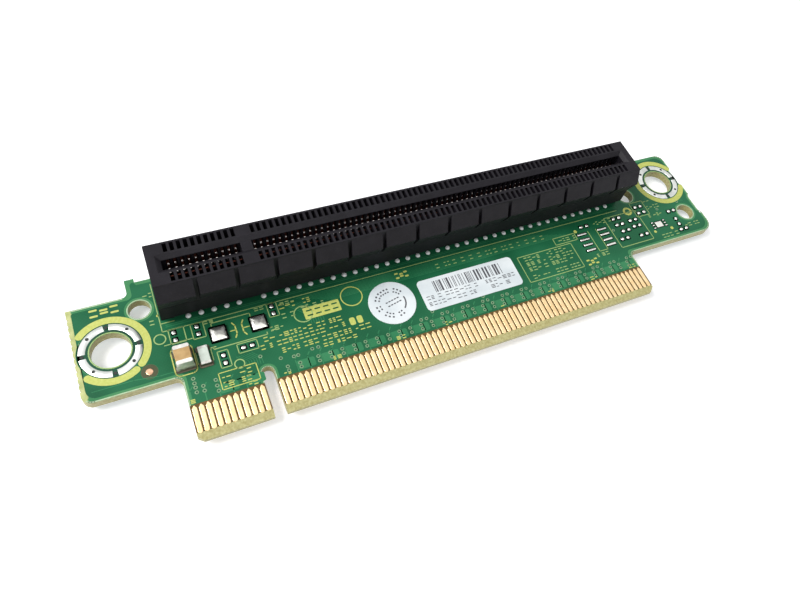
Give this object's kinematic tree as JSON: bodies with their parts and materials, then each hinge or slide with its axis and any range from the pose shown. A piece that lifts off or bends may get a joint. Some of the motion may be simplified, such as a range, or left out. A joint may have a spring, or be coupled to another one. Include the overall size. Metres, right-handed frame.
{
  "type": "pcie riser card",
  "caption": "Flat green riser card with a notched gold edge connector below, a long keyed card slot standing on its face and a screw ring at each end.",
  "frame": {"origin": "centre of the edge connector's key notch on the mating edge, in the board's mid-plane", "axes": "+X along the contacts towards the long contact row, +Y from the mating edge to the back edge, +Z out of the component face, the way an expansion card leaves the slot"},
  "size_m": [0.1197, 0.0298, 0.0143],
  "materials": {
    "laminate": "glossy solder mask",
    "gold_plating": "plated, satin",
    "solder_tin": "bright tin",
    "slot_plastic": "moulded, satin",
    "contact_metal": "plated spring alloy",
    "capacitor_ceramic": "ceramic, satin",
    "fuse_ceramic": "ceramic, satin",
    "label_paper": "matte paper"
  },
  "bodies": {
    "root": {"pcb_board": "laminate", "edge_fingers_top": "gold_plating", "edge_fingers_bottom": "gold_plating", "left_screw_ring": "solder_tin", "right_screw_ring": "solder_tin", "slot_housing": "slot_plastic", "slot_contacts_front": "contact_metal", "slot_contacts_back": "contact_metal", "tail_solder_joints": "solder_tin", "capacitor_body": "capacitor_ceramic", "capacitor_end_caps": "solder_tin", "capacitor_solder_pads": "solder_tin", "fuse_body": "fuse_ceramic", "fuse_end_caps": "solder_tin", "fuse_solder_pads": "solder_tin", "large_solder_pads": "solder_tin", "driver_pads": "solder_tin", "small_pads_left": "solder_tin", "small_pads_right": "solder_tin", "power_chip_pads": "solder_tin", "round_label": "label_paper", "long_label": "label_paper"}
  },
  "joints": []
}
